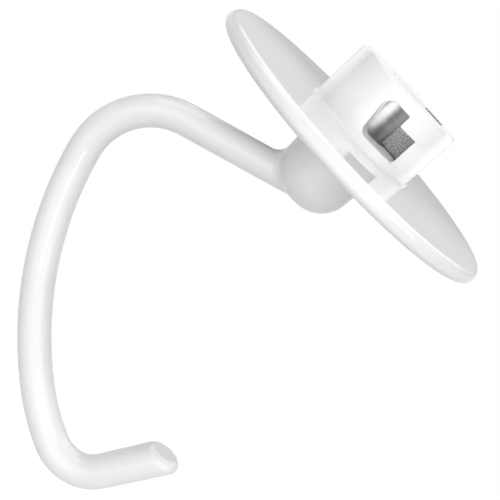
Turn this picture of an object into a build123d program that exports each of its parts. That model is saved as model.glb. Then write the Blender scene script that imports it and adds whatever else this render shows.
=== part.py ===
from build123d import *
import math
import os

# Dough hook: one casting. The origin is on the bore's axis, where its straight wall begins below
# the mouth's chamfer. +Z runs up the bore, the hub's window faces -Y, and the arm leaves towards -X.
# All lengths are in millimetres and all angles in degrees.

# Hub: a round boss between two flat lugs
hub_height = 20.4
boss_diameter = 35.0
lug_span = 39.5
lug_thickness = 10.0
lug_corner_radius = 2.0
hub_edge_radius = 0.8
hub_joint_radius = 1.5
hub_base_radius = 2.2

# Bore in the hub, for a 12.7 mm drive
drive_diameter = 12.7
drive_clearance = 0.15
bore_length = 34.8
bore_chamfer = 1.2

# Bayonet track, for a 6.35 mm key: a groove down from the hub's top, a passage and a seat
key_diameter = 6.35
key_reach = 12.9
key_clearance = 0.45
track_floor_height = 3.1
passage_height = 9.3
passage_reach = 12.2
seat_height = 13.3
seat_width = 8.8
seat_offset = 1.5
seat_lean = 9.0
seat_shoulder_radius = 3.4
seat_foot_radius = 2.5
window_corner_radius = 0.6
relief_depth = 0.8

# Disc that keeps the dough from climbing
disc_diameter = 110.0
disc_thickness = 5.2
rim_radius = 2.2

# Neck below the disc, set off a little towards the arm, with a domed end
neck_offset = 0.7
neck_diameter = 24.4
neck_draft = 3.5
neck_drop = 23.3
neck_fillet_radius = 4.0
dome_radius = 10.6

# Round arm: a straight run out of the neck, four bends, and a straight toe
root_diameter = 10.5
toe_diameter = 12.6
arm_root_drop = 17.55
arm_slope = 19.5
arm_run = 44.0
shoulder_radius = 27.7
shoulder_angle = 84.9
flank_radius = 131.5
flank_angle = 37.2
belly_radius = 80.3
belly_angle = 15.9
heel_radius = 14.9
heel_angle = 87.0
toe_run = 25.0
toe_tilt = 9.0
toe_edge_radius = 1.5
arm_blend_radius = 5.0

# Levels and radii that follow from the sizes above
hub_top = bore_chamfer
disc_top = hub_top - hub_height
disc_bottom = disc_top - disc_thickness
neck_bottom = disc_bottom - neck_drop
track_floor = disc_top + track_floor_height
boss_radius = boss_diameter / 2
bore_radius = drive_diameter / 2 + drive_clearance


def make_turned(outline, roundings):
    """Solid turned about the bore's axis from a half-section whose listed corners are rounded."""
    section = make_face(Polyline(*outline, close=True))
    for corner, radius in roundings:
        section = fillet(section.vertices().sort_by_distance(corner)[0], radius)
    return revolve(Plane.XZ * section, Axis.Z)


def make_disc():
    """Disc with a rounded rim."""
    rim_top = (disc_diameter / 2, disc_top)
    rim_bottom = (disc_diameter / 2, disc_bottom)
    outline = [(0, disc_top), rim_top, rim_bottom, (0, disc_bottom)]
    return make_turned(outline, [(rim_top, rim_radius), (rim_bottom, rim_radius)])


def make_neck():
    """Neck that narrows from inside the disc to its domed end."""
    root_level = disc_bottom + disc_thickness / 2
    neck_radius = neck_diameter / 2
    root_radius = neck_radius + (root_level - neck_bottom) * math.tan(math.radians(neck_draft))
    neck_tip = (neck_radius, neck_bottom)
    outline = [(0, root_level), (root_radius, root_level), neck_tip, (0, neck_bottom)]
    return Pos(-neck_offset, 0, 0) * make_turned(outline, [(neck_tip, dome_radius)])


def is_hub_outline(edge):
    """True for the edges round the hub's top and down the ends of its lugs."""
    way = edge % 0.5
    if abs(way.Y) > 0.999:
        return False
    on_lug_end = abs((edge @ 0.5).X) > boss_radius
    return on_lug_end or abs(way.Z) < 0.001


def make_hub():
    """Boss and lugs above the disc: the plan and the front view, crossed, with rounded edges."""
    plan = Circle(boss_radius) + Rectangle(lug_span, lug_thickness)
    inner_corners = plan.vertices().filter_by(lambda v: abs(v.X) < boss_radius)
    plan = fillet(inner_corners, hub_joint_radius)
    front = Pos(0, hub_height / 2) * Rectangle(lug_span, hub_height)
    front = fillet(front.vertices().group_by(Axis.Y)[-1], lug_corner_radius)
    hub = extrude(plan, hub_height) & extrude(Plane.XZ * front, boss_diameter, both=True)
    above_base = hub.edges().group_by(Axis.Z)[1:]
    rounded = [edge for group in above_base for edge in group if is_hub_outline(edge)]
    hub = fillet(rounded, hub_edge_radius)
    return Pos(0, 0, disc_top) * hub


def make_window():
    """Opening in the hub's front wall: a low passage, and a tall seat to the left of it."""
    seat_left = seat_offset - seat_width / 2
    seat_right = seat_offset + seat_width / 2
    foot = (seat_left + seat_height * math.tan(math.radians(seat_lean)), track_floor)
    shoulder = (seat_left, track_floor + seat_height)
    passage_top = track_floor + passage_height
    outline = Polyline(
        foot,
        (passage_reach, track_floor),
        (passage_reach, passage_top),
        (seat_right, passage_top),
        (seat_right, track_floor + seat_height),
        shoulder,
        close=True,
    )
    window = make_face(outline)
    roundings = [(foot, seat_foot_radius), (shoulder, seat_shoulder_radius)]
    for corner, radius in roundings:
        window = fillet(window.vertices().sort_by_distance(corner)[0], radius)
    square_corners = window.vertices().filter_by(lambda v: v.X > seat_right - window_corner_radius)
    window = fillet(square_corners, window_corner_radius)
    return extrude(Plane.XZ * window, boss_diameter)


def make_groove():
    """Way in from the hub's top, down to the level of the track's floor."""
    length = key_reach + key_clearance
    width = key_diameter + 2 * key_clearance
    plan = Pos(length / 2, 0, track_floor) * Rectangle(length, width)
    return extrude(plan, hub_height)


def make_relief():
    """Flat that leads from the wall beside the window into the window's right-hand edge."""
    depth_at_window = math.sqrt(boss_radius**2 - passage_reach**2) - relief_depth
    depth_at_lug = lug_thickness / 2 + hub_joint_radius
    reach_at_lug = math.sqrt(boss_radius**2 - depth_at_lug**2)
    outline = Polyline(
        (passage_reach - relief_depth, -depth_at_window),
        (reach_at_lug, -depth_at_lug),
        (reach_at_lug, -boss_radius),
        (passage_reach - relief_depth, -boss_radius),
        close=True,
    )
    plan = Pos(0, 0, track_floor) * make_face(outline)
    return extrude(plan, passage_height)


def make_bore():
    """Blind bore with a chamfered mouth."""
    bore = extrude(Circle(bore_radius), -bore_length)
    mouth = Pos(0, 0, bore_chamfer / 2) * Cone(bore_radius, bore_radius + bore_chamfer, bore_chamfer)
    return bore + mouth


def make_arm_path():
    """Centre line of the arm, in the mid-plane: straight, four bends that turn the same way, straight."""
    start = Vector(0, disc_bottom - arm_root_drop)
    way_out = Vector(-1, 0).rotate(Axis.Z, arm_slope)
    path = [Line(start, start + way_out * arm_run)]
    bends = [
        (shoulder_radius, shoulder_angle),
        (flank_radius, flank_angle),
        (belly_radius, belly_angle),
        (heel_radius, heel_angle),
    ]
    for radius, turn in bends:
        path.append(JernArc(path[-1] @ 1, path[-1] % 1, radius, turn))
    spare = toe_diameter
    path.append(Line(path[-1] @ 1, path[-1] @ 1 + (path[-1] % 1) * (toe_run + spare)))
    return Plane.XZ * Wire(path)


def make_arm():
    """Round rod that grows from root to toe along its path, with a slanting cut across the toe."""
    path = make_arm_path()
    root = Plane(origin=path @ 0, z_dir=path % 0) * Circle(root_diameter / 2)
    end = Plane(origin=path @ 1, z_dir=path % 1) * Circle(toe_diameter / 2)
    rod = sweep([root, end], path=path, multisection=True)
    toe = path @ 1 - (path % 1) * toe_diameter
    offcut_size = 4 * toe_diameter
    offcut = Pos(0, 0, offcut_size / 2) * Box(offcut_size, offcut_size, offcut_size)
    rod -= Pos(toe) * Rot(0, -toe_tilt, 0) * offcut
    toe_face = rod.faces().sort_by_distance(toe)[0]
    return fillet(toe_face.edges(), toe_edge_radius)


disc = make_disc()
neck = make_neck()
hub = make_hub()
arm = make_arm()

limb = fillet(new_edges(neck, arm, combined=neck + arm), arm_blend_radius)
casting = disc + limb
casting = fillet(new_edges(disc, limb, combined=casting), neck_fillet_radius)
casting += hub
level = casting.edges().filter_by_position(Axis.Z, disc_top, disc_top)
hub_foot = level.filter_by(lambda e: math.hypot((e @ 0.5).X, (e @ 0.5).Y) <= lug_span / 2)
casting = fillet(hub_foot, hub_base_radius)
casting -= make_window()
casting -= make_groove()
casting -= make_relief()
casting -= make_bore()

os.makedirs("parts", exist_ok=True)
export_step(casting, "parts/dough_hook.step")
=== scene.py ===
"""Dough hook for a stand mixer: a white coated casting, built as three smooth pieces on a pale stage.

The hub, the disc with its neck, and the arm are surfaces of two parameters, worked out as whole arrays.
Lengths are in metres and angles in radians. The origin is on the bore's axis, at the top of its wall.
"""

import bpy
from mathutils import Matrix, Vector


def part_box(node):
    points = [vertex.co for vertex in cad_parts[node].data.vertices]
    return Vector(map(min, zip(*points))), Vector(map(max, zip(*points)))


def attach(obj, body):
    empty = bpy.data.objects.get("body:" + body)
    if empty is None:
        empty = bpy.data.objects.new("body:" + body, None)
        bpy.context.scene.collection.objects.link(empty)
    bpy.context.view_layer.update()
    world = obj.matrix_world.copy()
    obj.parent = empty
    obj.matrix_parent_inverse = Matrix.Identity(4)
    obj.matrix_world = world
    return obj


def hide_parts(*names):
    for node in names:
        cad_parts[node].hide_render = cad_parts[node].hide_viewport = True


bl_info = {
    "name": "Dough Hook",
    "version": (1, 0, 0),
    "blender": (4, 5, 0),
    "location": "View3D > Sidebar > Dough Hook",
    "description": "Builds a white coated dough hook and a pale stage for it",
    "category": "Add Mesh",
}

import bpy
import numpy as np
from bpy.props import FloatProperty, FloatVectorProperty, PointerProperty
from mathutils import Matrix, Vector

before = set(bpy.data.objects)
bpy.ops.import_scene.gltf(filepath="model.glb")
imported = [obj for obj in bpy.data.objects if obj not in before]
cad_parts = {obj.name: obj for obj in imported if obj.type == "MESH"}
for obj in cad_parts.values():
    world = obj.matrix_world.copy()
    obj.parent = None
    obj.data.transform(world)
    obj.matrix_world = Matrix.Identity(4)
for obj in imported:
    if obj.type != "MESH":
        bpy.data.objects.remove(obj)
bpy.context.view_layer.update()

NODE = "dough_hook"
BODY = "root"

# Edges that turn by more than this are creases
SHARP_ANGLE = np.radians(32)
# How far the edge of one piece is sunk into the next, so that no slit shows between them
SUNK = 1e-5
# Halvings of a search for a length, and the floor for lengths that are divided by
HALVINGS = 48
TINY = 1e-9
# Turn of a rounded lip, short of a quarter, so that its cutter meets the surface at an angle
LIP_TURN = np.radians(80)

# Places of a Mix node's colour sockets, whose names are shared with its other data types
MIX_DARK = 6
MIX_LIGHT = 7
MIX_RESULT = 2
# Detail of the two noises in the grain, their mean sum, and the stretch over which the tone changes
CLOUD_DETAIL = 3.0
FINE_DETAIL = 2.0
MEAN_OF_BOTH = 1.0
TONE_FROM = 0.35
TONE_TO = 0.65
# Grain that is drawn out across the bore's axis, so that it reads as turning marks
TURNED = (0.03, 0.03, 1.0)

# Heights in the sky, as the upward part of a unit direction: the white below, then ledge, wall and ceiling
WHITE_TO = 0.06
LEDGE_FROM = 0.10
LEDGE_TO = 0.115
WALL_FROM = 0.127
WALL_TO = 0.20
CEILING_FROM = 0.35
# Heights between which the soft light changes from the ground's to the sky's
GROUND_TO = -0.5
SKY_FROM = 0.6

# Lamps: name, place, width and height in metres, and the setting that holds the power
LAMPS = (
    ("key_lamp", (0.08, -0.97, 0.22), 2.4, 1.1, "key_power"),
    ("low_lamp", (0.0, -0.90, -0.26), 1.0, 0.9, "low_power"),
    ("glint_lamp", (0.52, -0.90, -0.20), 0.14, 0.16, "glint_power"),
    ("upper_lamp", (-0.05, 0.48, 0.82), 1.4, 1.4, "upper_power"),
    ("left_lamp", (-0.72, -0.18, 0.66), 0.60, 0.60, "left_power"),
    ("right_lamp", (0.76, -0.54, 0.38), 0.80, 0.80, "right_power"),
)

# Width of the camera's sensor in millimetres, and the nearest distance that it sees in metres
SENSOR_WIDTH = 36.0
NEAREST = 0.01


def length(name, description, default):
    """A length property in metres."""
    return FloatProperty(
        name=name, description=description, default=default, min=0, precision=5, unit="LENGTH"
    )


def angle(name, description, degrees):
    """An angle property, with its default given in degrees."""
    return FloatProperty(name=name, description=description, default=np.radians(degrees), subtype="ANGLE")


def amount(name, description, default):
    """A plain number property."""
    return FloatProperty(name=name, description=description, default=default, min=0, precision=3)


def colour(name, description, default):
    """A colour property, in linear light."""
    return FloatVectorProperty(
        name=name, description=description, default=default, size=3, min=0, max=1, subtype="COLOR"
    )


def point(name, description, default):
    """A point in the part's own frame, in metres."""
    return FloatVectorProperty(
        name=name, description=description, default=default, size=3, subtype="TRANSLATION"
    )


def lamp_power(name, description, default):
    """The power of a lamp, in watts."""
    return FloatProperty(name=name, description=description, default=default, min=0, unit="POWER")


class HubSettings(bpy.types.PropertyGroup):
    """Sizes of the hub and of the bayonet track in it."""

    height: length("Height", "From the disc's top to the hub's top", 0.0204)
    boss_diameter: length("Boss", "Diameter of the round boss", 0.035)
    lug_span: length("Lug span", "Across the ends of the two flat lugs", 0.0395)
    lug_thickness: length("Lug thickness", "Through a lug, front to back", 0.010)
    lug_corner_radius: length("Lug corner", "Rounding of a lug's top corner", 0.0020)
    edge_radius: length("Edge", "Rounding of the hub's other edges", 0.0008)
    joint_radius: length("Joint", "Fillet between boss and lug", 0.0023)
    foot_radius: length("Foot", "Fillet between hub and disc", 0.0012)
    bore_diameter: length("Bore", "Diameter of the bore", 0.0130)
    bore_length: length("Bore length", "Straight wall of the bore", 0.0348)
    mouth_chamfer: length("Mouth", "Chamfer at the bore's mouth", 0.0012)
    groove_length: length("Groove length", "Reach of the entry groove from the axis", 0.01335)
    groove_width: length("Groove width", "Width of the entry groove", 0.00725)
    groove_corner_radius: length("Groove corner", "Rounding in the groove's end", 0.0010)
    floor_height: length("Track floor", "Floor of the track above the disc", 0.0031)
    passage_height: length("Passage height", "Height of the passage", 0.0093)
    passage_reach: length("Passage reach", "Right-hand end of the passage", 0.0122)
    seat_height: length("Seat height", "Height of the seat above the floor", 0.0133)
    seat_width: length("Seat width", "Width of the seat at its top", 0.0088)
    seat_offset: length("Seat offset", "Middle of the seat from the axis", 0.0015)
    seat_lean: angle("Seat lean", "Lean of the seat's left-hand edge", 9.0)
    seat_shoulder_radius: length("Seat shoulder", "Rounding at the seat's top left", 0.0034)
    seat_foot_radius: length("Seat foot", "Rounding at the seat's bottom left", 0.0025)
    window_corner_radius: length("Window corner", "Rounding of the window's other corners", 0.0006)
    lip_radius: length("Lip", "Rounding of the edges of window and groove", 0.0005)
    relief_depth: length("Relief", "Depth of the flat beside the window", 0.0008)


class DiscSettings(bpy.types.PropertyGroup):
    """Sizes of the disc and of the neck below it."""

    diameter: length("Diameter", "Diameter of the disc", 0.110)
    thickness: length("Thickness", "Thickness of the disc", 0.0052)
    rim_radius: length("Rim", "Rounding of the disc's rim", 0.0022)
    neck_offset: length("Neck offset", "Neck's axis from the bore's axis, towards the arm", 0.0007)
    neck_diameter: length("Neck", "Diameter of the neck at its end", 0.0244)
    neck_draft: angle("Neck draft", "Taper of the neck's wall", 3.5)
    neck_drop: length("Neck drop", "From the disc's underside to the dome's end", 0.0233)
    neck_fillet_radius: length("Neck fillet", "Fillet between neck and disc", 0.0040)
    dome_radius: length("Dome", "Rounding of the neck's end", 0.0106)


class ArmSettings(bpy.types.PropertyGroup):
    """Sizes of the round arm and of its path."""

    root_diameter: length("Root", "Diameter where the arm starts", 0.0105)
    toe_diameter: length("Toe", "Diameter where the arm ends", 0.0126)
    root_drop: length("Root drop", "Start of the path below the disc's underside", 0.01755)
    slope: angle("Slope", "Fall of the first straight run", 19.5)
    run: length("Run", "Length of the first straight run", 0.0440)
    shoulder_radius: length("Shoulder radius", "Radius of the first bend", 0.0277)
    shoulder_angle: angle("Shoulder angle", "Turn of the first bend", 84.9)
    flank_radius: length("Flank radius", "Radius of the long flank", 0.1315)
    flank_angle: angle("Flank angle", "Turn of the long flank", 37.2)
    belly_radius: length("Belly radius", "Radius of the third bend", 0.0803)
    belly_angle: angle("Belly angle", "Turn of the third bend", 15.9)
    heel_radius: length("Heel radius", "Radius of the last bend", 0.0149)
    heel_angle: angle("Heel angle", "Turn of the last bend", 87.0)
    toe_run: length("Toe run", "Length of the straight toe", 0.0261)
    toe_tilt: angle("Toe tilt", "Rise of the cut across the toe", 9.0)
    toe_edge_radius: length("Toe edge", "Rounding of the toe's edge", 0.0027)
    blend_radius: length("Blend", "Fillet between arm and neck", 0.0050)


class FinishSettings(bpy.types.PropertyGroup):
    """Colours and grain of the coating and of the bare casting in the track, whose colours are darkened as
    painted shade.
    """

    coat_colour: colour("Coating", "Colour of the coating", (0.86, 0.86, 0.86))
    coat_shade: colour("Coating shade", "Colour where the coating is thicker", (0.83, 0.83, 0.835))
    coat_roughness: amount("Coating roughness", "Mean roughness of the coating", 0.04)
    peel_size: length("Peel size", "Spacing of the coating's ripple", 0.0016)
    peel_height: length("Peel height", "Height of the coating's ripple", 0.000002)
    # The bare casting's two colours are its own grey and pits, darkened further as painted shade in the
    # track
    shaded_metal_colour: colour("Bare metal", "Colour of the bare casting", (0.45, 0.45, 0.46))
    shaded_metal_pits: colour("Bare metal shade", "Colour in the pits of the bare casting", (0.15, 0.15, 0.155))
    metal_roughness: amount("Bare metal roughness", "Mean roughness of the bare casting", 0.46)
    grain_size: length("Grain size", "Spacing of the bare casting's grain", 0.0003)
    grain_height: length("Grain height", "Depth of the bare casting's grain", 0.00005)
    bore_colour: colour("Bore", "Colour of the turned bore", (0.80, 0.80, 0.81))
    bore_shade: colour("Bore shade", "Colour in the bore's turning marks", (0.66, 0.66, 0.67))
    bore_roughness: amount("Bore roughness", "Mean roughness of the turned bore", 0.4)
    turning_pitch: length("Turning pitch", "Spacing of the bore's turning marks", 0.00025)
    turning_depth: length("Turning depth", "Depth of the bore's turning marks", 0.000004)


class StageSettings(bpy.types.PropertyGroup):
    """Floor, lamps and camera."""

    floor_colour: colour("Floor", "Colour of the floor", (0.35, 0.35, 0.35))
    floor_radius: length("Floor radius", "Reach of the floor", 0.7)
    floor_drop: length("Floor drop", "Floor below the part's lowest point", 0.350)
    floor_glow: amount("Floor glow", "Share of plain white in the floor as it is seen", 0.82)
    sky_strength: amount("Sky", "Soft light from above the part", 0.26)
    ground_strength: amount("Ground", "Soft light from below the part", 0.18)
    ledge_strength: amount("Ledge", "Brightness of the ledge behind the part as it is mirrored", 0.3)
    wall_strength: amount("Wall", "Brightness of the wall above the ledge as it is mirrored", 0.56)
    ceiling_strength: amount("Ceiling", "Brightness of the ceiling as it is mirrored", 0.35)
    key_power: lamp_power("Key", "Power of the broad front lamp", 8.7)
    low_power: lamp_power("Low", "Power of the low front lamp", 2.2)
    glint_power: lamp_power("Glint", "Power of the small lamp that draws a thin highlight", 0.32)
    upper_power: lamp_power("Upper", "Power of the upper lamp behind the part", 7.3)
    left_power: lamp_power("Left", "Power of the upper left lamp", 2.1)
    right_power: lamp_power("Right", "Power of the right lamp", 3.3)
    camera_place: point("Camera", "Place of the camera", (0.014966, -0.301206, 0.019778))
    camera_aim: point("Aim", "Point in the middle of the picture", (0.002609, 0.0, -0.069920))
    camera_roll: angle("Roll", "Turn of the picture about the line of sight", 47.774)
    camera_lens: FloatProperty(name="Lens", description="Focal length", default=70.147, unit="CAMERA")


def full_turn(columns):
    """Angles of a full turn in even steps, without its end."""
    return np.linspace(0, 2 * np.pi, columns, endpoint=False)


def eased(steps):
    """Shares from 0 to 1 whose steps are finest at both ends."""
    return (1 - np.cos(np.linspace(0, np.pi, steps))) / 2


def arc_between(start, end, steps):
    """Vectors that turn from start to end: each is the sine-weighted mean of the two.

    The steps are finest at both ends, where the arc runs on into its neighbours.
    """
    cosine = np.sum(start * end, axis=-1) / np.linalg.norm(start, axis=-1) / np.linalg.norm(end, axis=-1)
    turn = np.arccos(np.clip(cosine, -1, 1))[..., None]
    share = eased(steps).reshape((-1,) + (1,) * np.ndim(start))
    return (np.sin((1 - share) * turn) * start + np.sin(share * turn) * end) / np.sin(turn)


def rounded_corner(before, corner, after, radius, steps):
    """Points of the arc that touches both sides of a corner."""
    towards_before = (before - corner) / np.linalg.norm(before - corner)
    towards_after = (after - corner) / np.linalg.norm(after - corner)
    half = 0.5 * np.arccos(np.dot(towards_before, towards_after))
    middle = towards_before + towards_after
    centre = corner + middle / np.linalg.norm(middle) * radius / np.sin(half)
    reach = radius / np.tan(half)
    start = corner + towards_before * reach - centre
    end = corner + towards_after * reach - centre
    return centre + arc_between(start, end, steps)


def rounded_line(corners, radii, steps=10, closed=False):
    """A line through corners, with each corner of a radius above zero replaced by its arc."""
    corners = np.asarray(corners, float)
    count = len(corners)
    stretches = []
    for k, radius in enumerate(radii):
        if radius > 0 and (closed or 0 < k < count - 1):
            after = corners[(k + 1) % count]
            stretches.append(rounded_corner(corners[k - 1], corners[k], after, radius, steps))
        else:
            stretches.append(corners[k : k + 1])
    return np.vstack(stretches)


def resampled(line, spacing, closed=False):
    """The same line with extra points, so that no step is longer than the spacing."""
    path = np.vstack([line, line[:1]]) if closed else line
    stretches = []
    for start, end in zip(path[:-1], path[1:]):
        steps = max(1, int(np.ceil(np.linalg.norm(end - start) / spacing)))
        stretches.append(start + (end - start) * np.linspace(0, 1, steps, endpoint=False)[:, None])
    if not closed:
        stretches.append(path[-1:])
    return np.vstack(stretches)


def tube_mesh(name, rings, closed=False, poles=()):
    """A mesh from rings of points: quads between neighbouring rings, and fans to the poles at its ends.

    With closed set the last ring joins the first. Otherwise poles holds the point before the first ring
    and the point after the last one. The faces are turned so that the enclosed volume is positive.
    """
    rows, columns = rings.shape[:2]
    index = np.arange(rows * columns).reshape(rows, columns)
    if closed:
        lower, upper = index, np.roll(index, -1, axis=0)
    else:
        lower, upper = index[:-1], index[1:]
    quads = np.stack([lower, np.roll(lower, -1, 1), np.roll(upper, -1, 1), upper], axis=-1).reshape(-1, 4)
    points = rings.reshape(-1, 3)
    fans = np.empty((0, 3), int)
    if len(poles):
        first = np.full(columns, rows * columns)
        start_fan = np.stack([np.roll(index[0], -1), index[0], first], axis=-1)
        end_fan = np.stack([index[-1], np.roll(index[-1], -1), first + 1], axis=-1)
        fans = np.vstack([start_fan, end_fan])
        points = np.vstack([points, np.asarray(poles)])
    triangles = np.vstack([quads[:, [0, 1, 2]], quads[:, [0, 2, 3]], fans])
    a, b, c = (points[triangles[:, k]] for k in range(3))
    if np.sum(a * np.cross(b, c)) < 0:
        quads, fans = quads[:, ::-1], fans[:, ::-1]
    mesh = bpy.data.meshes.new(name)
    mesh.from_pydata(points.tolist(), [], quads.tolist() + fans.tolist())
    mesh.update()
    return mesh


def add_object(name, data):
    """A new object in the scene, which holds a mesh, a lamp or a camera."""
    holder = bpy.data.objects.new(name, data)
    bpy.context.scene.collection.objects.link(holder)
    return holder


def add_piece(mesh, materials=()):
    """A piece of the part: smooth, with creases only at its sharp edges, riding on the part's body."""
    for material in materials:
        mesh.materials.append(material)
    mesh.shade_smooth()
    mesh.set_sharp_from_angle(angle=SHARP_ANGLE)
    piece = add_object(mesh.name, mesh)
    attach(piece, BODY)
    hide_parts(NODE)


def levels(hub, disc):
    """Heights of the hub's top, the disc's two faces and the neck's end."""
    hub_top = hub.mouth_chamfer
    disc_top = hub_top - hub.height
    disc_bottom = disc_top - disc.thickness
    return hub_top, disc_top, disc_bottom, disc_bottom - disc.neck_drop


def neck_profile(hub, disc):
    """Half-section of the disc's underside, the neck and the dome, as rows of radius and height.

    The radius is taken from the neck's own axis.
    """
    _, _, disc_bottom, neck_bottom = levels(hub, disc)
    neck_radius = disc.neck_diameter / 2
    root_radius = neck_radius + disc.neck_drop * np.tan(disc.neck_draft)
    corners = [
        (disc.diameter / 2 - disc.rim_radius, disc_bottom),
        (root_radius, disc_bottom),
        (neck_radius, neck_bottom),
        (0.0, neck_bottom),
    ]
    return rounded_line(corners, [0, disc.neck_fillet_radius, disc.dome_radius, 0], steps=40)


def distance_to_neck(points, profile, offset):
    """Signed distance of points to the turned neck, and the nearest points on it.

    Each point is turned into its radius from the neck's axis and its height, and measured against every
    stretch of the profile. The distance is negative inside the neck.
    """
    across = points[..., 0] + offset
    radius = np.hypot(across, points[..., 1])
    flat = np.stack([radius, points[..., 2]], axis=-1)[..., None, :]
    start, way = profile[:-1], np.diff(profile, axis=0)
    share = np.clip(np.sum((flat - start) * way, axis=-1) / np.sum(way * way, axis=-1), 0, 1)
    foot = start + share[..., None] * way
    gap = np.linalg.norm(flat - foot, axis=-1)
    nearest = np.argmin(gap, axis=-1)[..., None]
    distance = np.take_along_axis(gap, nearest, -1)[..., 0]
    foot = np.take_along_axis(foot, nearest[..., None], -2)[..., 0, :]
    way = way[nearest[..., 0]]
    away = flat[..., 0, :] - foot
    outside = away[..., 0] * -way[..., 1] + away[..., 1] * way[..., 0]
    spread = foot[..., 0] / np.maximum(radius, TINY)
    touch = np.stack([across * spread - offset, points[..., 1] * spread, foot[..., 1]], axis=-1)
    return np.where(outside < 0, -distance, distance), touch


def smooth_step(low, high, values):
    """Rises from 0 at low to 1 at high with level ends."""
    share = np.clip((values - low) / (high - low), 0, 1)
    return share * share * (3 - 2 * share)


def hub_reach(hub, phi, offset):
    """Distance from the axis to the hub's outline, moved outwards by an offset, in the direction phi.

    The outline is the curve at that distance from a circle and a bar, joined by a fillet: with a and b the
    distances to the two, the fillet is where the hypotenuse of (radius - a, radius - b) is radius - offset.
    """
    boss = hub.boss_diameter / 2
    corner = hub.edge_radius
    half_span = hub.lug_span / 2 - corner
    half_thickness = hub.lug_thickness / 2 - corner
    joint = hub.joint_radius
    low = np.zeros(np.broadcast(phi, offset).shape)
    high = np.full(low.shape, hub.lug_span)
    for _ in range(HALVINGS):
        reach = (low + high) / 2
        over_x = np.abs(reach * np.cos(phi)) - half_span
        over_y = np.abs(reach * np.sin(phi)) - half_thickness
        outer = np.hypot(np.maximum(over_x, 0), np.maximum(over_y, 0))
        to_bar = outer + np.minimum(np.maximum(over_x, over_y), 0) - corner
        to_boss = reach - boss
        fillet = np.hypot(np.maximum(joint - to_boss, 0), np.maximum(joint - to_bar, 0))
        distance = np.maximum(joint, np.minimum(to_boss, to_bar)) - fillet
        beyond = distance > offset
        low, high = np.where(beyond, low, reach), np.where(beyond, reach, high)
    return (low + high) / 2


def hub_rings(hub, disc, columns=720, edge_rows=13, wall_rows=12, top_rows=6, bore_rows=8):
    """Rings of the hub without its track, from the foot up the wall, over the top and down the bore.

    Each ring is the outline at one offset and height. The offset follows a hollow quarter circle at the
    foot and a round one at the top edge, whose radius grows at the ends of the lugs.
    """
    hub_top, disc_top, _, _ = levels(hub, disc)
    phi = full_turn(columns)[None, :]
    to_lug = np.abs((phi + np.pi / 2) % np.pi - np.pi / 2)
    lug_edge = np.arctan2(hub.lug_thickness, hub.lug_span)
    full_until, gone_from = 0.75 * lug_edge, 1.05 * lug_edge
    at_lug = 1 - smooth_step(full_until, gone_from, to_lug)
    top_radius = hub.edge_radius + (hub.lug_corner_radius - hub.edge_radius) * at_lug

    turn = np.pi / 2 * eased(edge_rows)[:, None]
    flat = np.ones_like(phi)
    foot_offset = hub.foot_radius * (1 - np.sin(turn)) * flat
    foot_height = (disc_top + hub.foot_radius * (1 - np.cos(turn))) * flat
    foot_height[0] -= SUNK
    share = np.linspace(0, 1, wall_rows)[1:-1, None]
    wall_low = disc_top + hub.foot_radius
    wall_height = wall_low + share * (hub_top - top_radius - wall_low)
    edge_offset = top_radius * (np.cos(turn) - 1)
    edge_height = hub_top - top_radius * (1 - np.sin(turn))
    offset = np.vstack([foot_offset, 0 * wall_height, edge_offset])
    height = np.vstack([foot_height, wall_height, edge_height])
    reach = hub_reach(hub, phi * np.ones_like(offset), offset)

    bore = hub.bore_diameter / 2
    mouth = bore + hub.mouth_chamfer
    share = np.linspace(0, 1, top_rows)[1:, None]
    top_reach = reach[-1:] + share * (mouth - reach[-1:])
    bore_share = np.linspace(0, 1, bore_rows)[:, None]
    bore_height = hub_top - hub.mouth_chamfer + bore_share * (disc_top - hub_top + hub.mouth_chamfer)
    reach = np.vstack([reach, top_reach, bore * flat * np.ones_like(bore_share)])
    height = np.vstack([height, hub_top * flat * np.ones_like(share), bore_height * flat])
    rings = np.stack([reach * np.cos(phi), reach * np.sin(phi), height], axis=-1)
    bare_from = len(rings) - len(bore_share)
    return rings, bare_from


def relief_line(hub):
    """Ends of the flat beside the window, in plan: at the window's edge and at the lug."""
    boss = hub.boss_diameter / 2
    start_x = hub.passage_reach - hub.relief_depth
    start_y = hub.relief_depth - np.sqrt(boss**2 - hub.passage_reach**2)
    end_y = -(hub.lug_thickness / 2 + hub.joint_radius)
    end_x = np.sqrt(boss**2 - end_y**2)
    return np.array([(start_x, start_y), (end_x, end_y)])


def wall_depth(hub, x, z, passage_top):
    """The y of the hub's front wall: the boss, set back to the flat beside the passage."""
    boss = hub.boss_diameter / 2
    depth = -np.sqrt(np.maximum(boss**2 - x**2, 0))
    start, end = relief_line(hub)
    flat = start[1] + (x - start[0]) * (end[1] - start[1]) / (end[0] - start[0])
    beside = (x > start[0]) & (z < passage_top)
    return np.where(beside, np.maximum(depth, flat), depth)


def outward(line):
    """Unit normals of a closed plane line that runs anticlockwise."""
    way = np.roll(line, -1, 0) - np.roll(line, 1, 0)
    way /= np.linalg.norm(way, axis=1)[:, None]
    return np.stack([way[:, 1], -way[:, 0]], axis=-1)


def lipped_outline(corners, radii, lip_radius, spacing, steps=7):
    """A hole's outline, the wider lines of its rounded lip, and how far below the surface each lies."""
    line = resampled(rounded_line(corners, radii, steps=9, closed=True), spacing, closed=True)
    turn = np.linspace(0, LIP_TURN, steps)
    widening = lip_radius * (1 - np.cos(turn))
    return line, line + widening[:, None, None] * outward(line), lip_radius * (1 - np.sin(turn))


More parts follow.
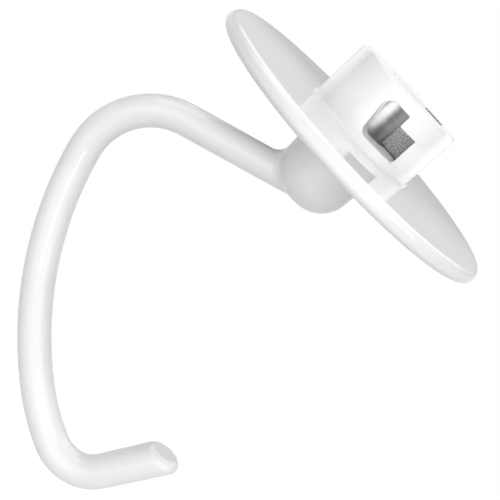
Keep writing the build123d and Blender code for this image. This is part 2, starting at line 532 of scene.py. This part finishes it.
def window_cutter(hub, disc, spacing=0.0006):
    """Space of the window: its outline carried from the mid-plane out through the hub's front wall.

    Near the wall the outline widens along a quarter circle, which leaves the window with a rounded lip.
    """
    _, disc_top, _, _ = levels(hub, disc)
    floor = disc_top + hub.floor_height
    passage_top = floor + hub.passage_height
    seat_top = floor + hub.seat_height
    left = hub.seat_offset - hub.seat_width / 2
    right = hub.seat_offset + hub.seat_width / 2
    corners = [
        (left + hub.seat_height * np.tan(hub.seat_lean), floor),
        (hub.passage_reach, floor),
        (hub.passage_reach, passage_top),
        (right, passage_top),
        (right, seat_top),
        (left, seat_top),
    ]
    small = hub.window_corner_radius
    radii = [hub.seat_foot_radius, small, small, small, small, hub.seat_shoulder_radius]
    line, wide, depth = lipped_outline(corners, radii, hub.lip_radius, spacing)
    wall = wall_depth(hub, wide[..., 0], wide[..., 1], passage_top)
    lip_rings = np.stack([wide[..., 0], wall + depth[:, None], wide[..., 1]], axis=-1)
    mid_ring = np.stack([line[:, 0], 0 * line[:, 0], line[:, 1]], axis=-1)[None]
    out_ring = lip_rings[-1:].copy()
    out_ring[..., 1] = -hub.boss_diameter
    rings = np.vstack([mid_ring, lip_rings, out_ring])
    low_middle = floor + hub.passage_height / 2
    poles = [(hub.seat_offset, 0, low_middle), (hub.seat_offset, -hub.boss_diameter, low_middle)]
    return tube_mesh("window_cutter", rings, poles=poles)


def groove_cutter(hub, disc, spacing=0.0008):
    """Space of the entry groove: its plan carried up from the track's floor and out through the hub's top.

    Near the top the plan widens along a quarter circle, which leaves the groove with a rounded lip.
    """
    hub_top, disc_top, _, _ = levels(hub, disc)
    half = hub.groove_width / 2
    far = hub.groove_length
    corners = [(0, -half), (far, -half), (far, half), (0, half)]
    radii = [0, hub.groove_corner_radius, hub.groove_corner_radius, 0]
    line, wide, depth = lipped_outline(corners, radii, hub.lip_radius, spacing)
    height = (hub_top - depth)[:, None] * np.ones(len(line))
    lip_rings = np.concatenate([wide, height[..., None]], axis=-1)
    floor_ring = np.column_stack([line, np.full(len(line), disc_top + hub.floor_height)])[None]
    out_ring = lip_rings[-1:].copy()
    out_ring[..., 2] += hub.height
    rings = np.vstack([floor_ring, lip_rings, out_ring])
    return tube_mesh("groove_cutter", rings, poles=[floor_ring[0].mean(0), out_ring[0].mean(0)])


def relief_cutter(hub, disc, spacing=0.001):
    """Space in front of the flat beside the window, from the track's floor to the passage's top."""
    _, disc_top, _, _ = levels(hub, disc)
    floor = disc_top + hub.floor_height
    start, end = relief_line(hub)
    boss = hub.boss_diameter / 2
    corners = [start, (start[0], -boss), (end[0], -boss), end]
    line = resampled(np.array(corners), spacing, closed=True)
    low = np.column_stack([line, np.full(len(line), floor)])
    high = np.column_stack([line, np.full(len(line), floor + hub.passage_height)])
    return tube_mesh("relief_cutter", np.stack([low, high]), poles=[low.mean(0), high.mean(0)])


def cut_away(mesh, cutters):
    """The mesh without the space of each cutter."""
    body = add_object("uncut", mesh)
    tools = [add_object(cutter.name, cutter) for cutter in cutters]
    for tool in tools:
        cut = body.modifiers.new(tool.name, "BOOLEAN")
        cut.operation = "DIFFERENCE"
        cut.solver = "EXACT"
        cut.material_mode = "TRANSFER"
        cut.object = tool
    bpy.context.view_layer.update()
    result = bpy.data.meshes.new_from_object(body.evaluated_get(bpy.context.evaluated_depsgraph_get()))
    for spare in [body] + tools:
        spare_mesh = spare.data
        bpy.data.objects.remove(spare)
        bpy.data.meshes.remove(spare_mesh)
    return result


def disc_rings(hub, disc, columns=256, spacing=0.0020):
    """Rings of the turned disc and neck, from the bore's floor up its wall and over the rim to the dome.

    The rings' centres move from the bore's axis to the neck's axis across the disc's flat underside.
    """
    _, disc_top, disc_bottom, _ = levels(hub, disc)
    bore = hub.bore_diameter / 2
    innermost = bore / 10
    floor_corner = disc.rim_radius / 4
    rim = disc.diameter / 2
    corners = [
        (innermost, -hub.bore_length),
        (bore, -hub.bore_length),
        (bore, disc_top),
        (rim, disc_top),
        (rim, disc_bottom),
        (rim - 2 * disc.rim_radius, disc_bottom),
    ]
    radii = [0, floor_corner, 0, disc.rim_radius, disc.rim_radius, 0]
    upper = rounded_line(corners, radii, steps=14)
    lower = neck_profile(hub, disc)[1:-1]
    centre = np.repeat([0, -disc.neck_offset], [len(upper), len(lower)])
    profile = resampled(np.column_stack([np.vstack([upper, lower]), centre]), spacing)
    phi = full_turn(columns)
    radius, height, centre = profile[:, :1], profile[:, 1:2] * np.ones(columns), profile[:, 2:]
    bare_to = int(np.argmax(profile[:, 1] >= disc_top))
    return np.stack([centre + radius * np.cos(phi), radius * np.sin(phi), height], axis=-1), bare_to


class ArmPath:
    """The arm's centre line in the mid-plane: straight and bent stretches that follow on smoothly."""

    def __init__(self, hub, disc, arm):
        _, _, disc_bottom, _ = levels(hub, disc)
        bends = [
            (arm.shoulder_radius, arm.shoulder_angle),
            (arm.flank_radius, arm.flank_angle),
            (arm.belly_radius, arm.belly_angle),
            (arm.heel_radius, arm.heel_angle),
        ]
        lengths = [arm.run] + [radius * turn for radius, turn in bends] + [arm.toe_run]
        self.bend = np.array([0] + [1 / radius for radius, _ in bends] + [0])
        self.start = np.concatenate([[0], np.cumsum(lengths)])
        self.length = self.start[-1]
        self.heading = np.pi + arm.slope + np.concatenate([[0], np.cumsum(self.bend * lengths)[:-1]])
        self.origin = np.array([[0, disc_bottom - arm.root_drop]])
        for k in range(len(lengths) - 1):
            step = self.stretch(np.array([k]), np.array([lengths[k]]))
            self.origin = np.vstack([self.origin, step])
        self.root_radius = arm.root_diameter / 2
        self.growth = (arm.toe_diameter - arm.root_diameter) / 2 / (self.length + arm.toe_diameter)

    def stretch(self, k, run):
        """Points at a run along stretch k.

        A straight stretch goes straight on. On a bend the steps across and up are the differences of the
        sines and of the cosines of the headings at both ends, times the bend's radius.
        """
        heading, bend, origin = self.heading[k], self.bend[k], self.origin[k]
        turned = heading + bend * run
        safe = np.where(bend == 0, 1, bend)
        across = np.where(bend == 0, run * np.cos(heading), (np.sin(turned) - np.sin(heading)) / safe)
        up = np.where(bend == 0, run * np.sin(heading), (np.cos(heading) - np.cos(turned)) / safe)
        return origin + np.stack([across, up], axis=-1)

    def radius(self, s):
        """Radius of the arm, which grows evenly from root to toe."""
        return self.root_radius + self.growth * s

    def at(self, s, theta):
        """Point on the centre line at the length s, and the way out from it at the angle theta round it."""
        k = np.clip(np.searchsorted(self.start, s, side="right") - 1, 0, len(self.bend) - 1)
        run = s - self.start[k]
        flat = self.stretch(k, run)
        turned = self.heading[k] + self.bend[k] * run
        centre = np.stack([flat[..., 0], np.zeros(flat.shape[:-1]), flat[..., 1]], axis=-1)
        across = -np.sin(turned) * np.cos(theta)
        aside = np.sin(theta) * np.ones_like(turned)
        up = np.cos(turned) * np.cos(theta)
        return centre, np.stack([across, aside, up], axis=-1)


def root_blend(path, arm, profile, offset, theta, steps=18):
    """Fillet between arm and neck: the track of a ball that touches both.

    For each direction round the arm the ball's middle lies its radius off the arm's surface, and slides
    along the arm until it is as far from the neck. The fillet is the arc between the two points of touch.
    """
    ball = arm.blend_radius
    low = np.zeros_like(theta)
    high = np.full_like(theta, arm.run)
    for _ in range(HALVINGS):
        s = (low + high) / 2
        centre, out = path.at(s, theta)
        middle = centre + (path.radius(s) + ball)[:, None] * out
        distance, touch = distance_to_neck(middle, profile, offset)
        clear = distance > ball
        low, high = np.where(clear, low, s), np.where(clear, s, high)
    arcs = middle + arc_between(touch - middle, -ball * out, steps)
    return s, arcs, touch - middle


def toe_end(path, arm, theta, steps=9, rounds=4):
    """Rounded edge and face of the toe.

    The edge is the track of a ball inside the arm that touches its side and the cut. The ball's place
    depends on the arm's radius there, so it is worked out in a few rounds.
    """
    ball = arm.toe_edge_radius
    normal = np.array([-np.sin(arm.toe_tilt), 0, np.cos(arm.toe_tilt)])
    way = np.array([np.cos(path.heading[-1]), 0, np.sin(path.heading[-1])])
    _, out = path.at(np.full_like(theta, path.length), theta)
    s = np.full_like(theta, path.length)
    for _ in range(rounds):
        s = path.length - (ball + (path.radius(s) - ball) * (out @ normal)) / np.dot(normal, way)
    centre, out = path.at(s, theta)
    middle = centre + (path.radius(s) - ball)[:, None] * out
    edge = middle + ball * arc_between(out, np.broadcast_to(normal, out.shape), steps)
    face_middle = edge[-1].mean(0)
    face_shares = np.array([0.7, 0.35])[:, None, None]
    face = face_middle + face_shares * (edge[-1] - face_middle)
    return s, np.vstack([edge, face]), face_middle


def arm_rings(hub, disc, arm, columns=80, run_rows=14, bend_rows=150, toe_rows=12):
    """Rings of the arm, from inside the neck over the fillet and along the path to the face of the toe."""
    path = ArmPath(hub, disc, arm)
    theta = full_turn(columns)
    root_s, blend, inwards = root_blend(path, arm, neck_profile(hub, disc), disc.neck_offset, theta)
    toe_s, toe, face_middle = toe_end(path, arm, theta)
    inwards /= np.linalg.norm(inwards, axis=1)[:, None]
    blend[0] += SUNK * inwards
    hidden_depth = arm.blend_radius / 8
    hidden = blend[:1] + hidden_depth * inwards

    bends_from, bends_to = path.start[1] - arm.toe_diameter, path.start[-2]
    share = np.linspace(0, 1, run_rows)[1:, None]
    first = root_s + share * (bends_from - root_s)
    middle = np.linspace(bends_from, bends_to, bend_rows)[1:, None] * np.ones(columns)
    share = np.linspace(0, 1, toe_rows)[1:-1, None]
    last = bends_to + share * (toe_s - bends_to)
    s = np.vstack([first, middle, last])
    centre, out = path.at(s, theta * np.ones_like(s))
    side = centre + path.radius(s)[..., None] * out
    inside, _ = path.at(np.array([root_s.min() / 2]), np.zeros(1))
    return np.vstack([hidden, blend, side, toe]), [inside[0], face_middle]


def feed(tree, node, given):
    """Give a node's inputs other nodes' sockets or plain values."""
    for label, value in given.items():
        if isinstance(value, bpy.types.NodeSocket):
            tree.links.new(value, node.inputs[label])
        else:
            node.inputs[label].default_value = value


def add_node(tree, kind, given, **settings):
    """A new node with these settings, and with its inputs fed."""
    node = tree.nodes.new(kind)
    for name, value in settings.items():
        setattr(node, name, value)
    feed(tree, node, given)
    return node


def math_node(tree, operation, *given):
    """The result of a Math node."""
    return add_node(tree, "ShaderNodeMath", dict(enumerate(given)), operation=operation).outputs["Value"]


def surface_grain_group():
    """Node group for the grain of every finish: a cloudy tone, an uneven roughness and a fine height."""
    name = "Surface Grain"
    if name in bpy.data.node_groups:
        return bpy.data.node_groups[name]
    group = bpy.data.node_groups.new(name, "ShaderNodeTree")
    sockets = group.interface
    defaults = {"Fine Scale": 600.0, "Cloud Scale": 40.0, "Roughness": 0.3, "Spread": 0.1}
    for label, default in defaults.items():
        socket = sockets.new_socket(label, in_out="INPUT", socket_type="NodeSocketFloat")
        socket.default_value = default
    stretch = sockets.new_socket("Stretch", in_out="INPUT", socket_type="NodeSocketVector")
    stretch.default_value = (1, 1, 1)
    for label in ("Tone", "Roughness", "Height"):
        sockets.new_socket(label, in_out="OUTPUT", socket_type="NodeSocketFloat")
    given = group.nodes.new("NodeGroupInput").outputs
    where = group.nodes.new("ShaderNodeTexCoord").outputs["Object"]
    factors = {0: where, 1: given["Stretch"]}
    stretched = add_node(group, "ShaderNodeVectorMath", factors, operation="MULTIPLY").outputs["Vector"]
    noises = []
    for scale, detail in (("Cloud Scale", CLOUD_DETAIL), ("Fine Scale", FINE_DETAIL)):
        noise = {"Vector": stretched, "Scale": given[scale], "Detail": detail}
        noises.append(add_node(group, "ShaderNodeTexNoise", noise).outputs["Fac"])
    cloud, fine = noises
    span = {"Value": cloud, "From Min": TONE_FROM, "From Max": TONE_TO}
    tone = add_node(group, "ShaderNodeMapRange", span, interpolation_type="SMOOTHSTEP").outputs["Result"]
    centred = math_node(group, "SUBTRACT", math_node(group, "ADD", cloud, fine), MEAN_OF_BOTH)
    rough = math_node(group, "MULTIPLY_ADD", centred, given["Spread"], given["Roughness"])
    add_node(group, "NodeGroupOutput", {"Tone": tone, "Roughness": rough, "Height": fine})
    return group


def grained_material(
    name, light, dark, *, roughness, spread, grain, cloud, height, metallic=0.0, stretch=(1, 1, 1)
):
    """A principled material whose colour, roughness and bump come from the shared grain."""
    material = bpy.data.materials.get(name)
    if material:
        return material
    material = bpy.data.materials.new(name)
    material.use_nodes = True
    tree = material.node_tree
    grains = {
        "Fine Scale": 1 / grain,
        "Cloud Scale": 1 / cloud,
        "Roughness": roughness,
        "Spread": spread,
        "Stretch": stretch,
    }
    surface = add_node(tree, "ShaderNodeGroup", grains, node_tree=surface_grain_group()).outputs
    tones = {"Factor": surface["Tone"], MIX_DARK: (*dark, 1), MIX_LIGHT: (*light, 1)}
    tint = add_node(tree, "ShaderNodeMix", tones, data_type="RGBA")
    bump = add_node(tree, "ShaderNodeBump", {"Distance": height, "Height": surface["Height"]})
    look = {
        "Metallic": metallic,
        "Base Color": tint.outputs[MIX_RESULT],
        "Roughness": surface["Roughness"],
        "Normal": bump.outputs["Normal"],
    }
    feed(tree, tree.nodes["Principled BSDF"], look)
    return material


def coating_material(finish):
    """Smooth white coating with a faint ripple."""
    return grained_material(
        "white_coating_finish",
        finish.coat_colour,
        finish.coat_shade,
        roughness=finish.coat_roughness,
        spread=0.10,
        grain=finish.peel_size,
        cloud=0.03,
        height=finish.peel_height,
    )


def shaded_bare_metal_material(finish):
    """Grainy bare casting inside the track, its grey and its pits darkened as painted shade."""
    return grained_material(
        "bare_casting_finish",
        finish.shaded_metal_colour,
        finish.shaded_metal_pits,
        roughness=finish.metal_roughness,
        spread=0.30,
        grain=finish.grain_size,
        cloud=0.00045,
        height=finish.grain_height,
        metallic=1.0,
    )


def turned_bore_material(finish):
    """Bright turned metal in the bore, with fine rings round its axis."""
    return grained_material(
        "turned_bore_finish",
        finish.bore_colour,
        finish.bore_shade,
        roughness=finish.bore_roughness,
        spread=0.20,
        grain=finish.turning_pitch,
        cloud=0.002,
        height=finish.turning_depth,
        metallic=1.0,
        stretch=TURNED,
    )


class HOOK_OT_hub(bpy.types.Operator):
    """Build the hub with its bore and bayonet track"""

    bl_idname = "dough_hook.hub"
    bl_label = "Hub"

    def execute(self, context):
        scene = context.scene
        hub, disc, finish = scene.hook_hub, scene.hook_disc, scene.hook_finish
        coating, metal = coating_material(finish), shaded_bare_metal_material(finish)
        turned = turned_bore_material(finish)
        rings, bare_from = hub_rings(hub, disc)
        mesh = tube_mesh("hub_uncut", rings, closed=True)
        in_bore = np.arange(rings.shape[0]) >= bare_from
        mesh.polygons.foreach_set("material_index", np.repeat(in_bore, rings.shape[1]).astype(np.int32))
        for material in (coating, turned):
            mesh.materials.append(material)
        cutters = [relief_cutter(hub, disc), window_cutter(hub, disc), groove_cutter(hub, disc)]
        # The groove's walls take the bare casting, whose darkness is partly its own grey and partly painted
        # shade
        for cutter, material in zip(cutters, (coating, coating, metal)):
            cutter.materials.append(material)
        cut = cut_away(mesh, cutters)
        cut.name = "hook_hub"
        if len(cut.polygons) < len(rings):
            raise RuntimeError("the hub was lost when its track was cut")
        add_piece(cut)
        return {"FINISHED"}


class HOOK_OT_disc(bpy.types.Operator):
    """Build the disc and the neck below it"""

    bl_idname = "dough_hook.disc"
    bl_label = "Disc and neck"

    def execute(self, context):
        scene = context.scene
        hub, disc, finish = scene.hook_hub, scene.hook_disc, scene.hook_finish
        rings, bare_to = disc_rings(hub, disc)
        _, _, _, neck_bottom = levels(hub, disc)
        poles = [(0, 0, -hub.bore_length), (-disc.neck_offset, 0, neck_bottom)]
        mesh = tube_mesh("hook_disc", rings, poles=poles)
        in_bore = np.zeros(len(mesh.polygons), np.int32)
        in_bore[: bare_to * rings.shape[1]] = 1
        in_bore[-2 * rings.shape[1] : -rings.shape[1]] = 1
        mesh.polygons.foreach_set("material_index", in_bore)
        add_piece(mesh, (coating_material(finish), turned_bore_material(finish)))
        return {"FINISHED"}


class HOOK_OT_arm(bpy.types.Operator):
    """Build the round arm, from its blend with the neck to the toe"""

    bl_idname = "dough_hook.arm"
    bl_label = "Arm"

    def execute(self, context):
        scene = context.scene
        rings, poles = arm_rings(scene.hook_hub, scene.hook_disc, scene.hook_arm)
        mesh = tube_mesh("hook_arm", rings, poles=poles)
        add_piece(mesh, (coating_material(scene.hook_finish),))
        return {"FINISHED"}


def seen_background(tree):
    """A value that is 1 for rays from the camera, a glossy surface or a clear one, and otherwise 0."""
    path = tree.nodes.new("ShaderNodeLightPath").outputs
    seen = path["Is Camera Ray"]
    for ray in ("Is Glossy Ray", "Is Transmission Ray"):
        seen = math_node(tree, "MAXIMUM", seen, path[ray])
    return seen


def floor_material(stage):
    """Pale floor that is seen as nearly plain white and still takes the part's shadow."""
    material = bpy.data.materials.new("pale_floor")
    material.use_nodes = True
    tree = material.node_tree
    tree.nodes.clear()
    lit = add_node(tree, "ShaderNodeBsdfDiffuse", {"Color": (*stage.floor_colour, 1)})
    strength = math_node(tree, "MULTIPLY", seen_background(tree), stage.floor_glow)
    glow = add_node(tree, "ShaderNodeEmission", {"Strength": strength})
    both = add_node(tree, "ShaderNodeAddShader", {0: lit.outputs["BSDF"], 1: glow.outputs["Emission"]})
    add_node(tree, "ShaderNodeOutputMaterial", {"Surface": both.outputs["Shader"]})
    return material


def add_floor(stage, columns=96):
    """Round level floor below the part: rings of growing radius about the part's axis."""
    low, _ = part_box(NODE)
    turn = full_turn(columns)
    shares = np.array([0.1, 0.4, 1.0])
    radius = stage.floor_radius * shares[:, None]
    height = np.full((len(shares), columns), low[2] - stage.floor_drop)
    rings = np.stack([radius * np.cos(turn), radius * np.sin(turn), height], axis=-1)
    index = np.arange(rings.shape[0] * rings.shape[1]).reshape(rings.shape[:2])
    inner, outer = index[:-1], index[1:]
    quads = np.stack([inner, outer, np.roll(outer, -1, 1), np.roll(inner, -1, 1)], axis=-1)
    faces = quads.reshape(-1, 4).tolist() + [index[0].tolist()]
    mesh = bpy.data.meshes.new("floor")
    mesh.from_pydata(rings.reshape(-1, 3).tolist(), [], faces)
    mesh.materials.append(floor_material(stage))
    floor = add_object("floor", mesh)


def add_sky(stage):
    """World that lights the part softly, a little more from above than from below.

    As it is seen, also by glossy and clear surfaces, it is white up to a little above the horizon, and
    higher up it has a dark ledge, a wall and a ceiling.
    """
    world = bpy.data.worlds.new("sky")
    world.use_nodes = True
    tree = world.node_tree
    way = tree.nodes.new("ShaderNodeTexCoord").outputs["Generated"]
    up = add_node(tree, "ShaderNodeSeparateXYZ", {"Vector": way}).outputs["Z"]
    seen = add_node(tree, "ShaderNodeValToRGB", {"Fac": up})
    ramp = seen.color_ramp
    ramp.interpolation = "EASE"
    marks = (
        (WHITE_TO, 1.0),
        (LEDGE_FROM, stage.ledge_strength),
        (LEDGE_TO, stage.ledge_strength),
        (WALL_FROM, stage.wall_strength),
        (WALL_TO, stage.wall_strength),
        (CEILING_FROM, stage.ceiling_strength),
    )
    ready = len(ramp.elements)
    for k, (height, tone) in enumerate(marks):
        mark = ramp.elements[k] if k < ready else ramp.elements.new(height)
        mark.position = height
        mark.color = (tone, tone, tone, 1)
    heights = {
        "Value": up,
        "From Min": GROUND_TO,
        "From Max": SKY_FROM,
        "To Min": stage.ground_strength,
        "To Max": stage.sky_strength,
    }
    light = add_node(tree, "ShaderNodeMapRange", heights, interpolation_type="SMOOTHSTEP").outputs["Result"]
    either = {"Value": seen_background(tree), "To Min": light, "To Max": seen.outputs["Color"]}
    strength = add_node(tree, "ShaderNodeMapRange", either).outputs["Result"]
    feed(tree, tree.nodes["Background"], {"Color": (1, 1, 1, 1), "Strength": strength})
    bpy.context.scene.world = world


def add_lamp(name, place, aim, width, height, power):
    """Flat lamp at a place, turned to its aim."""
    lamp = bpy.data.lights.new(name, "AREA")
    lamp.shape = "RECTANGLE"
    lamp.size = width
    lamp.size_y = height
    lamp.energy = power
    holder = add_object(name, lamp)
    holder.location = place
    holder.rotation_euler = (Vector(aim) - Vector(place)).to_track_quat("-Z", "Y").to_euler()


def add_camera(stage):
    """Camera at its place, aimed at a point and rolled about the line of sight."""
    camera = bpy.data.cameras.new("camera")
    camera.sensor_width = SENSOR_WIDTH
    camera.lens = stage.camera_lens
    camera.clip_start = NEAREST
    holder = add_object("camera", camera)
    place, aim = Vector(stage.camera_place), Vector(stage.camera_aim)
    level = (aim - place).to_track_quat("-Z", "Y").to_matrix().to_4x4()
    holder.matrix_world = Matrix.Translation(place) @ level @ Matrix.Rotation(stage.camera_roll, 4, "Z")
    bpy.context.scene.camera = holder


class HOOK_OT_stage(bpy.types.Operator):
    """Set up the floor, the sky, the lamps and the camera"""

    bl_idname = "dough_hook.stage"
    bl_label = "Stage"

    def execute(self, context):
        stage = context.scene.hook_stage
        add_floor(stage)
        add_sky(stage)
        for name, place, width, height, power in LAMPS:
            add_lamp(name, place, stage.camera_aim, width, height, getattr(stage, power))
        add_camera(stage)
        context.scene.view_settings.view_transform = "Standard"
        return {"FINISHED"}


class HOOK_PT_panel(bpy.types.Panel):
    """The dough hook's sizes, finishes and stage"""

    bl_idname = "HOOK_PT_panel"
    bl_label = "Dough Hook"
    bl_space_type = "VIEW_3D"
    bl_region_type = "UI"
    bl_category = "Dough Hook"

    def draw(self, context):
        for operator, groups in PANEL_ROWS:
            box = self.layout.box()
            for group in groups:
                settings = getattr(context.scene, group)
                for prop in settings.bl_rna.properties:
                    if prop.identifier not in ("rna_type", "name"):
                        box.prop(settings, prop.identifier)
            box.operator(operator.bl_idname)


PANEL_ROWS = (
    (HOOK_OT_hub, ("hook_hub",)),
    (HOOK_OT_disc, ("hook_disc",)),
    (HOOK_OT_arm, ("hook_arm", "hook_finish")),
    (HOOK_OT_stage, ("hook_stage",)),
)
SETTINGS = {
    "hook_hub": HubSettings,
    "hook_disc": DiscSettings,
    "hook_arm": ArmSettings,
    "hook_finish": FinishSettings,
    "hook_stage": StageSettings,
}
CLASSES = (*SETTINGS.values(), HOOK_OT_hub, HOOK_OT_disc, HOOK_OT_arm, HOOK_OT_stage, HOOK_PT_panel)


def register():
    """Make the classes and the settings known to Blender."""
    for item in CLASSES:
        bpy.utils.register_class(item)
    for name, group in SETTINGS.items():
        setattr(bpy.types.Scene, name, PointerProperty(type=group))


def unregister():
    """Take the settings and the classes away again."""
    for name in SETTINGS:
        delattr(bpy.types.Scene, name)
    for item in reversed(CLASSES):
        bpy.utils.unregister_class(item)


def main():
    """Build the pieces and the stage."""
    register()
    bpy.ops.dough_hook.disc()
    bpy.ops.dough_hook.hub()
    bpy.ops.dough_hook.arm()
    bpy.ops.dough_hook.stage()


if __name__ == "__main__":
    main()
